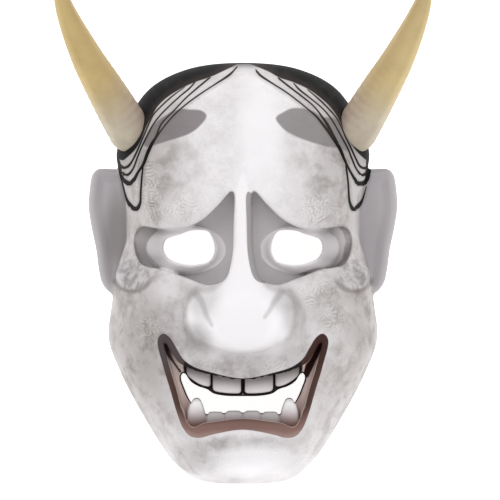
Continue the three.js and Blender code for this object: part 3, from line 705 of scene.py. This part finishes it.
class Paint:
    def __init__(self, name):
        self.material = bpy.data.materials.new(name)
        self.material.use_nodes = True
        self.tree = self.material.node_tree
        self.shader = self.tree.nodes["Principled BSDF"]

    def feed(self, socket, value):
        if isinstance(value, Coat):
            self.tree.links.new(value.socket, socket)
        else:
            socket.default_value = value

    def add(self, kind, inputs, output=0, **settings):
        node = self.tree.nodes.new("ShaderNode" + kind)
        for name, value in settings.items():
            setattr(node, name, value)
        for name, value in inputs.items():
            self.feed(node.inputs[name], value)
        return Coat(self, node.outputs[output])

    def sum(self, kind, a, b):
        return self.add("Math", {0: a, 1: b}, operation=kind)

    def most(self, a, b):
        return self.sum("MAXIMUM", a, b)

    def layer(self, name, output="Fac"):
        return self.add("Attribute", {}, output, attribute_name=name)

    # From 0 at the first value to 1 at the second, eased at both ends.
    def fade(self, value, start, end):
        return self.add("MapRange", {0: value, 1: start, 2: end}, interpolation_type="SMOOTHSTEP")

    def mix(self, share, under, over):
        return self.add("Mix", {0: share, 6: under, 7: over}, 2, data_type="RGBA")

    def cloud(self, place, size, detail=4.0, roughness=0.6):
        sizes = {"Vector": place, "Scale": 1 / size, "Detail": detail, "Roughness": roughness}
        return self.add("TexNoise", sizes)

    def stretch(self, place, by):
        return self.add("VectorMath", {0: place, 1: by}, operation="MULTIPLY")

    # 1 at a place on the pattern, fading to 0 at its reach.
    def patch(self, place, middle, reach):
        moved = self.add("VectorMath", {0: place, 1: (*middle, 0)}, operation="SUBTRACT")
        scaled = self.stretch(moved, (1 / reach[0], 1 / reach[1], 0))
        return self.fade(self.add("VectorMath", {0: scaled}, "Value", operation="LENGTH"), 1, 0.25)

    # The patches of a list, laid one over another: each one's middle, its reach and how much.
    def patches(self, place, listed, under=0.0):
        for x_at, y_at, x_reach, y_reach, much in listed:
            here = much * self.patch(place, (x_at, y_at), (x_reach, y_reach))
            under = under + here - under * here
        return under

    # Millimetres on the pattern.
    def pattern_place(self):
        metres = self.add("TexCoord", {}, "Object")
        here = self.stretch(metres, (1 / MM, 1 / MM, 1 / MM))
        return self.add("VectorMath", {0: here, 1: (0, -FACE_SHIFT, 0)}, operation="ADD")

    def split(self, place):
        node = self.add("SeparateXYZ", {0: place}).socket.node
        return [Coat(self, socket) for socket in node.outputs]

    # Relief finer than the mesh, its depth in millimetres.
    def roughen(self, height, strength, depth):
        bump = self.add("Bump", {"Height": height, "Strength": strength, "Distance": depth * MM})
        self.feed(self.shader.inputs["Normal"], bump)


paint = Paint("aged shell paint")
place = paint.pattern_place()
across, along, _ = paint.split(place)
aside = abs(across)
both_sides = paint.add("CombineXYZ", {0: aside, 1: along})

# The white ground, greyer and more stained towards its edges.
outer = paint.fade(aside, 14, 58)
mottle = paint.fade(paint.cloud(place, 30, 5, 0.6), 0.36, 0.66)
stain = paint.fade(paint.cloud(place, 13, 6, 0.68), 0.42, 0.68)
fleck = paint.cloud(place, 1.6, 3, 0.6)
colour = paint.mix(mottle * (0.3 + 0.5 * outer), tint(252, 249, 252), tint(218, 213, 212))
colour = paint.mix(outer * 0.4, colour, tint(200, 194, 191))
colour = paint.mix(stain * (0.14 + 0.5 * outer), colour, tint(176, 169, 165))

# Painted shade over the white, deepest at the temples, the cheeks, round the lobes and the nose, and
# under the lips, as places, their reach and how much.
SHADED_PATCHES = [
    (-44, 50, 18, 34, 0.42), (-27, 52, 16, 22, 0.1), (47, 46, 18, 40, 0.42), (30, 44, 14, 22, 0.1),
    (-49, 32, 13, 14, 0.3), (-54, -3, 15, 15, 0.45), (54, -5, 18, 14, 0.5), (-48, -30, 21, 27, 0.5),
    (60, -24, 10, 30, 0.36), (-41, -62, 12, 24, 0.26), (-20, -15, 8, 8, 0.2), (21, -13, 9, 8, 0.2),
    (-24, -40, 15, 10, 0.4), (26, -41, 13, 10, 0.36), (-1, -47, 34, 11, 0.62), (-12, -84, 18, 6, 0.26),
    (12, -84, 14, 5, 0.26), (-20, -92, 14, 12, 0.38), (27, -97, 8, 6, 0.12), (-2, -84, 32, 6, 0.32),
    (-58, -40, 12, 26, 0.16), (-46, -50, 14, 20, 0.16), (-4, -105, 28, 8, 0.34), (-30, -10, 8, 20, 0.12),
    (-46, -44, 10, 18, 0.16), (-34, -27, 7, 16, 0.2), (-56, -26, 12, 16, 0.14), (40, -18, 10, 14, 0.2),
    (24, -42, 10, 8, 0.2), (44, 34, 8, 8, 0.2), (-26, -90, 11, 13, 0.36), (-46, -46, 10, 16, 0.2),
]
# Painted shade in these patches and in a band beside the nose's wings, mottled by the stains.
painted_shade = paint.patches(place, SHADED_PATCHES, 0.11 + 0.15 * outer)
nose_light = paint.layer("nose_light")
shade_beside_nose = paint.fade(nose_light, 7, 2) * paint.fade(aside, 17, 24) * paint.fade(along, -2, -9)
painted_shade = paint.most(painted_shade, 0.42 * shade_beside_nose)
colour = paint.mix(painted_shade * (0.72 + 0.5 * stain), colour, tint(128, 120, 115))

# Patches where the paint is rubbed into fine curling lines.
RUBBED = [
    (-46, 40, 10, 24), (-46, -27, 9, 9), (36, 32, 14, 12), (36, -10, 14, 12), (17, -46, 10, 5),
    (-30, 32, 12, 9), (44, -22, 9, 10), (6, -90, 24, 7),
]
curl = {"Vector": place, "Scale": 0.12, "Frequency": 4.8, "Anisotropy": 0.9}
curl["Orientation"] = 13 * paint.cloud(place, 15, 1)
whorl = paint.add("TexGabor", curl, "Value", gabor_type="2D")
rubbed = 0.0
for x_at, y_at, x_reach, y_reach in RUBBED:
    rubbed = paint.most(rubbed, paint.patch(place, (x_at, y_at), (x_reach, y_reach)))
colour = paint.mix(rubbed * paint.fade(whorl, 0.5, 0.72) * 0.42, colour, tint(240, 237, 231))
colour = paint.mix(rubbed * paint.fade(whorl, 0.5, 0.28) * 0.3, colour, tint(130, 124, 116))
colour = paint.mix(paint.fade(fleck, 0.5, 0.75) * 0.25, colour, tint(196, 190, 186))

# Painted light on the nose, the forehead and the chin, and painted shade on the nose's sides.
NOSE_SIDE_SHADES = [
    (-19, -13, 12, 15, 0.3), (-24, -32, 13, 11, 0.5), (21, -13, 9, 10, 0.32), (25, -22, 8, 14, 0.3),
    (3.5, 24, 3, 16, 0.2),
]
lit = paint.fade(nose_light, 1.6, -1.6)
lit = paint.most(lit, 0.9 * paint.patch(place, (5, -93), (24, 13)))
lit = paint.most(lit, 0.9 * paint.patch(place, (8, 68), (18, 44)))
colour = paint.mix(lit * 0.88, colour, tint(255, 253, 255))
# Painted shade on the sides of the nose and beside its bridge.
nose_side_shade = paint.patches(place, NOSE_SIDE_SHADES)
colour = paint.mix(nose_side_shade * (0.7 + 0.6 * mottle), colour, tint(128, 122, 120))
# Painted shade along the creases between the tip and the wings of the nose.
crease_shade = paint.fade(paint.layer("crease_shade"), -1.6, 0.4) * paint.fade(nose_light, 2.5, 0)
colour = paint.mix(crease_shade * 0.42, colour, tint(150, 144, 142))
# Painted shade in the hollows of the carving.
crevice_shade = paint.layer("crevice_shade")
colour = paint.mix(paint.fade(crevice_shade, 0.2, 0.8) * 0.5, colour, tint(150, 144, 142))

# The brows in thinned ink.
brow = paint.fade(paint.layer("brow"), 0.6, -0.6)
brow_tone = paint.mix(paint.fade(across, -30, 30), tint(124, 117, 119), tint(138, 134, 134))
colour = paint.mix(brow * 0.88, colour, brow_tone)

# The sockets in grey, partly grey paint and partly painted shade, with a darker strip of painted
# shade where the right one is painted past its carving, and the pale eyeballs with painted light on their
# lower part.
in_socket = paint.fade(paint.layer("socket"), 0.3, -0.3)
socket_tone = paint.mix(paint.fade(aside, 8, 22), tint(206, 202, 203), tint(200, 196, 197))
socket_tone = paint.mix(paint.fade(aside, 30, 48), socket_tone, tint(184, 180, 180))
socket_tone = paint.mix(paint.fade(across, 43, 50), socket_tone, tint(224, 220, 220))
# A darker strip of painted shade where the right socket is painted past its carving.
socket_tone = paint.mix(paint.fade(paint.layer("socket_cut"), -0.6, 0.3), socket_tone, tint(166, 162, 163))
colour = paint.mix(in_socket, colour, socket_tone)
on_ball = in_socket * paint.fade(paint.layer("eyeball"), 0.7, 0.2)
ball_tone = paint.mix(paint.fade(aside, 34, 42), tint(238, 234, 235), tint(200, 196, 197))
# The eyeballs, with painted light on their lower part.
colour = paint.mix(on_ball, colour, paint.mix(paint.fade(along, 8, 3), ball_tone, tint(252, 250, 251)))

# The ears in grey with painted shade in their hollows, and the lobes of the cheek with a painted shadow below
# them.
on_ear = paint.fade(paint.layer("ear"), 0.4, -0.4)
# Painted shade in the hollow of each ear.
concha_shade = paint.patch(both_sides, (62, 21), (11, 30)) * paint.fade(across, 90, -30)
ear_tone = paint.mix(concha_shade, tint(192, 188, 191), tint(160, 156, 156))
colour = paint.mix(on_ear, colour, ear_tone)
lobe_edge = paint.layer("lobe")
lobe = paint.fade(lobe_edge, 0.6, -0.6)
lobe_wear = paint.fade(paint.cloud(place, 5, 4, 0.6), 0.4, 0.62)
lobe_tone = paint.mix(lobe_wear, tint(204, 201, 203), tint(150, 146, 147))
colour = paint.mix(lobe * 0.7, colour, lobe_tone)
# Painted shadow below the lobes.
shadow_below_lobe = paint.fade(abs(lobe_edge - 0.7), 2, 0) * paint.fade(along, -1, -5)
colour = paint.mix(shadow_below_lobe * 0.6, colour, tint(118, 112, 110))

# The hair, black along the crown and in drawn lines, in a smudge of thin ink.
crown = paint.layer("hair")
hair = paint.fade(crown, -0.25, 0.3)
smudge = paint.fade(crown, -7, 0)
for name in ("hairs_1", "hairs_2", "hairs_3"):
    side, width, _ = paint.split(paint.layer(name, "Vector"))
    hair = paint.most(hair, paint.fade(width - abs(side), -0.24, 0.06))
    smudge = paint.most(smudge, paint.fade(width - abs(side), -3, 0))
streak = paint.cloud(paint.stretch(place, (1, 1, 0.4)), 5, 4, 0.7)
hair_tone = paint.mix(paint.fade(streak, 0.45, 0.75), tint(12, 11, 14), tint(36, 32, 31))
thin = paint.fade(crown, 4, 0.3) * paint.fade(along, 62, 70)
hair_tone = paint.mix(thin * 0.5, hair_tone, tint(70, 62, 58))
colour = paint.mix(smudge * 0.3, colour, tint(120, 114, 112))
colour = paint.mix(hair, colour, hair_tone)
top = paint.fade(along, 101, 104.5) * paint.fade(aside, 20, 8)
colour = paint.mix(top * (1 - hair) * 0.75, colour, tint(70, 67, 70))

# The lips in brown, the walls of the mouth in rose, and a pale line between them.
mouth = paint.layer("mouth")
lip = paint.layer("lip")
in_mouth = paint.fade(mouth, 0.25, -0.1)
left = paint.fade(across, 10, -10)
brown = paint.mix(paint.fade(along, -64, -78), tint(78, 54, 48), tint(138, 107, 100))
low_edge = paint.fade(mouth, -3.5, -0.5) * paint.fade(along, -76, -79)
brown = paint.mix(low_edge * 0.5, brown, tint(170, 146, 138))
upper_line = paint.fade(along, -60, -56) * paint.fade(aside, 29, 25)
brown = paint.mix(upper_line, brown, paint.mix(paint.fade(aside, 8, 22), tint(26, 18, 18), tint(74, 38, 36)))
wall = paint.mix(paint.fade(along, -52, -74), tint(226, 204, 197), tint(168, 142, 135))
wall = paint.mix(upper_line, wall, tint(34, 24, 24))
charcoal = paint.mix(left, tint(66, 42, 36), tint(82, 73, 73))
brown = paint.mix(paint.fade(along, -54, -42) * paint.fade(aside, 27, 31), brown, charcoal)
wall = paint.mix(paint.fade(along, -45, -37) * paint.fade(aside, 27, 31), wall, charcoal)
lining = paint.mix(paint.fade(lip, -0.2, 0.2), brown, wall)
pale = paint.fade(abs(lip - 0.45), 0.45, 0.15) * paint.fade(along, -46, -54) * (1 - upper_line)
lining = paint.mix(pale * 0.9, lining, tint(238, 212, 202))
# Painted shadow in the corners of the mouth.
corner = paint.fade(paint.layer("corner"), -0.35, 0.35) * paint.fade(lip, -0.4, 0.4)
lining = paint.mix(corner, lining, paint.mix(left, tint(48, 22, 17), tint(66, 54, 53)))
colour = paint.mix(in_mouth, colour, lining)

# The teeth, darker towards their roots and paler towards their edges, and the ink round the gape.
tooth_front = paint.layer("tooth_front")
rise = paint.layer("tooth_rise")
below = paint.fade(along, -61, -64)
fang = below * paint.fade(aside, 17.6, 18.4)
ivory = paint.mix(paint.fade(rise, 0.1, 1), tint(132, 124, 122), tint(236, 230, 230))
low_ivory = paint.mix(paint.fade(rise, 0.2, 1), tint(146, 122, 116), tint(200, 196, 198))
fang_ivory = paint.mix(paint.fade(rise, 0.2, 0.9), tint(124, 96, 90), tint(254, 251, 252))
ivory = paint.mix(below, ivory, paint.mix(fang, low_ivory, fang_ivory))
on_tooth = in_mouth * paint.fade(paint.layer("tooth"), 0.3, 0.05)
on_tooth = on_tooth * paint.most(below, paint.fade(tooth_front, 0.0, -0.3))
colour = paint.mix(in_mouth * (1 - below) * paint.fade(tooth_front, 1.9, 1), colour, tint(30, 22, 22))
colour = paint.mix(on_tooth, colour, ivory)
lower_edge = paint.fade(along, -60, -64)
ink = paint.fade(paint.layer("gape") + 0.3 * lower_edge, 0.85, 0.55)
colour = paint.mix(ink * in_mouth, colour, tint(34, 24, 24))

# The back is bare wood, darkened with soot.
behind = paint.fade(paint.layer("hollow"), 1.5, 0.5)
grain = paint.cloud(paint.stretch(place, (1, 0.12, 1)), 2.2, 5, 0.65)
soot = paint.cloud(place, 26, 4, 0.6)
wood = paint.mix(paint.fade(grain, 0.35, 0.7), tint(74, 49, 34), tint(108, 76, 52))
wood = paint.mix(paint.fade(soot, 0.42, 0.62) * 0.75, wood, tint(46, 32, 26))
colour = paint.mix(behind, colour, wood)
paint.feed(paint.shader.inputs["Base Color"], colour)

glossy = paint.most(on_tooth, in_mouth)
rough = 0.72 + 0.1 * fleck - 0.22 * glossy
paint.feed(paint.shader.inputs["Roughness"], rough - 0.12 * behind)
paint.shader.inputs["Specular IOR Level"].default_value = 0.16
brushed = paint.cloud(paint.stretch(place, (1, 0.3, 1)), 2.5, 3, 0.6)
relief = 0.5 * brushed + 0.35 * fleck + 0.5 * rubbed * whorl + behind * grain
paint.roughen(relief, 0.35, 0.25)
mask.data.materials.append(paint.material)
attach(mask, "root")
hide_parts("mask")

# The horns. Each is turned and bent from its own piece of wood, let into a seat in the head,
# primed, and covered with gold that has rubbed thin and browned near the root.
HORN_LENGTH = 98.0
HORN_BASE = 21.5
HORN_TIP = 2.4
HORN_LET_IN = 12.0
# The horn's course from where it leaves the head, in shares of its length.
HORN_WAY = [
    (0, 0, 0), (0.124, 0.212, 0.07), (0.212, 0.364, 0.13), (0.308, 0.569, 0.21), (0.341, 0.671, 0.255),
    (0.373, 0.867, 0.34),
]
HORN_EXIT = (56.3, 71, 17)  # on the pattern, and above the side wall
HORN_RINGS = 150
HORN_SIDES = 60
exit_x, exit_y, exit_z = HORN_EXIT
horn_exit = np.array([exit_x * ACROSS, exit_y * ALONG + FACE_SHIFT, SKIRT + exit_z * OUTWARD])
way = np.array(HORN_WAY) * HORN_LENGTH + horn_exit
root = way[0] - (way[1] - way[0]) / np.linalg.norm(way[1] - way[0]) * HORN_LET_IN
line = smooth_line([root, *way], HORN_RINGS, closed=False)
ahead = np.gradient(line, axis=0)
ahead /= np.linalg.norm(ahead, axis=1, keepdims=True)
upright = np.array([0, 0, 1.0]) - ahead * ahead[:, 2:]
upright /= np.linalg.norm(upright, axis=1, keepdims=True)
sideways = np.cross(ahead, upright)
along_horn = np.linspace(0, 1, HORN_RINGS)
shown = np.maximum(along_horn * (HORN_LENGTH + HORN_LET_IN) - HORN_LET_IN, 0) / HORN_LENGTH
radius = np.maximum(HORN_BASE * (1 - shown ** 1.5) ** 0.85, HORN_TIP) / 2
let_in = np.maximum(HORN_LET_IN - along_horn * (HORN_LENGTH + HORN_LET_IN), 0)
radius = radius - 0.045 * let_in ** 2
turn = np.linspace(0, 2 * np.pi, HORN_SIDES, endpoint=False)
ripple = 0.09 * np.sin(shown[:, None] * 150 + 1.3 * np.sin(turn)) * ease(0.75, 0.1, shown)[:, None]
ripple = ripple + 0.07 * np.sin(9 * turn + 5 * shown[:, None]) - 0.12
reach = radius[:, None] + ripple
rings = (line[:, None] + reach[:, :, None] * (
    np.cos(turn)[:, None] * upright[:, None] + np.sin(turn)[:, None] * sideways[:, None]))
# The rounded tip: two more rings, as their place out to its end and how much they narrow.
TIP_ROUND = [(0.55, 0.86), (0.9, 0.5)]
tip_out = ahead[-1] * HORN_TIP * 0.3
for out_by, narrower in TIP_ROUND:
    ring = line[-1] + tip_out * out_by + (rings[HORN_RINGS - 1] - line[-1]) * narrower
    rings = np.concatenate([rings, ring[None]])
count = len(rings)
points = np.concatenate([rings.reshape(-1, 3), [line[0]], [line[-1] + tip_out * 1.1]])
faces = []
for j in range(HORN_SIDES):
    k = (j + 1) % HORN_SIDES
    for i in range(count - 1):
        here = i * HORN_SIDES
        further = here + HORN_SIDES
        faces.append((here + j, here + k, further + k, further + j))
    faces.append((k, j, count * HORN_SIDES))
    faces.append(((count - 1) * HORN_SIDES + j, (count - 1) * HORN_SIDES + k, count * HORN_SIDES + 1))

# For the paint: the share of the horn's length, how far it faces inwards for its painted shade and light, and
# its wrapped grain.
share = np.append(np.repeat(np.append(shown, [1] * len(TIP_ROUND)), HORN_SIDES), [0, 1])
facing = -(np.cos(turn)[:, None] * upright[:, None] + np.sin(turn)[:, None] * sideways[:, None])[:, :, 0]
facing = np.append(np.concatenate([facing.ravel(), *[facing[-1]] * len(TIP_ROUND)]), [0, 0])
wrapped = np.stack([np.tile(np.cos(turn), count), np.tile(np.sin(turn), count), share[:-2] * 20], 1) * 10
wrapped = np.vstack([wrapped, [0, 0, 0], [0, 0, 200]])

gold = Paint("rubbed gold")
place = gold.pattern_place()
from_root = gold.layer("horn_share")
inner = gold.layer("horn_inward_for_shade")
brown_root = gold.fade(from_root + 0.1 * gold.cloud(place, 12), 0.42, 0.08)
worn = gold.fade(gold.cloud(place, 16, 4, 0.55), 0.35, 0.7)
leaf = gold.mix(worn, tint(207, 181, 123), tint(191, 166, 110))
leaf = gold.mix(gold.fade(gold.split(place)[0], -60, 60) * 0.3, leaf, tint(214, 196, 156))
# Painted shade on the side of the gold that faces inwards, and painted light on the side that faces outwards.
leaf = gold.mix(gold.fade(inner, -0.2, 1) * 0.5, leaf, tint(168, 141, 92))
leaf = gold.mix(gold.fade(inner, -0.3, -1) * 0.3, leaf, tint(228, 206, 150))
stained = gold.fade(gold.cloud(place, 12, 3, 0.55), 0.35, 0.65)
base = gold.mix(stained, tint(199, 188, 167), tint(186, 174, 156))
# Painted shade on the inward side of the root.
base = gold.mix(gold.fade(inner, 0, 0.9) * 0.6, base, tint(160, 136, 126))
leaf = gold.mix(brown_root, leaf, base)
fibre = gold.cloud(gold.stretch(gold.layer("horn_place", "Vector"), (1, 1, 0.06)), 1.4, 4, 0.65)
leaf = gold.mix(gold.fade(fibre, 0.5, 0.8) * 0.16, leaf, tint(150, 128, 90))
gold.feed(gold.shader.inputs["Base Color"], leaf)
gold.shader.inputs["Metallic"].default_value = 0.12
gold.feed(gold.shader.inputs["Roughness"], 0.42 + 0.2 * fibre)
gold.roughen(fibre, 0.3, 0.2)

for name, side in (("horn_right", 1), ("horn_left", -1)):
    horn = new_piece("gilded_" + name, points * [side, 1, 1] * MM, [face[::side] for face in faces])
    painted(horn, "horn_share", share)
    painted(horn, "horn_inward_for_shade", facing)
    painted(horn, "horn_place", wrapped)
    horn.data.materials.append(gold.material)
    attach(horn, "root")
    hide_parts(name)

# The floor, the lights and the camera. The mask lies on pale paper under three soft lamps, and is
# seen from straight above through a long lens.
floor_mesh = bpy.data.meshes.new("floor")
floor_mesh.from_pydata([(-1, -1, 0), (1, -1, 0), (1, 1, 0), (-1, 1, 0)], [], [(0, 1, 2, 3)])
floor = bpy.data.objects.new("floor", floor_mesh)
bpy.context.scene.collection.objects.link(floor)
paper = bpy.data.materials.new("pale paper")
paper.use_nodes = True
paper_shader = paper.node_tree.nodes["Principled BSDF"]
paper_shader.inputs["Base Color"].default_value = (0.9, 0.9, 0.9, 1)
paper_shader.inputs["Emission Color"].default_value = (1, 1, 1, 1)
paper_shader.inputs["Emission Strength"].default_value = 0.95
floor.data.materials.append(paper)

bpy.context.scene.view_settings.view_transform = "Standard"
world = bpy.data.worlds.new("studio")
bpy.context.scene.world = world
world.use_nodes = True
backdrop = world.node_tree.nodes["Background"]
backdrop.inputs["Color"].default_value = (1, 1, 1, 1)
backdrop.inputs["Strength"].default_value = 0.6

# Each lamp's place and size in metres, and its power in watts.
LAMPS = [((-0.5, 0.7, 1.2), 0.8, 4.5), ((0.7, 0.2, 1.0), 0.9, 2), ((0, -0.9, 0.9), 0.8, 2)]
for spot, size, power in LAMPS:
    lamp = bpy.data.lights.new("softbox", "AREA")
    lamp.size = size
    lamp.energy = power
    lamp_object = bpy.data.objects.new("softbox", lamp)
    bpy.context.scene.collection.objects.link(lamp_object)
    lamp_object.location = spot
    lamp_object.rotation_euler = (-Vector(spot)).to_track_quat("-Z", "Y").to_euler()

camera_data = bpy.data.cameras.new("camera")
camera_data.lens = 600
camera_data.sensor_width = 36
camera = bpy.data.objects.new("camera", camera_data)
bpy.context.scene.collection.objects.link(camera)
FIELD = 0.2485
AIM_ACROSS = 0.0035
AIM_ALONG = 11.6
AIM_HEIGHT = 0.035
camera_height = AIM_HEIGHT + FIELD * camera_data.lens / camera_data.sensor_width
camera.location = (AIM_ACROSS, (AIM_ALONG + FACE_SHIFT) * MM, camera_height)
camera_data.clip_end = 10
bpy.context.scene.camera = camera
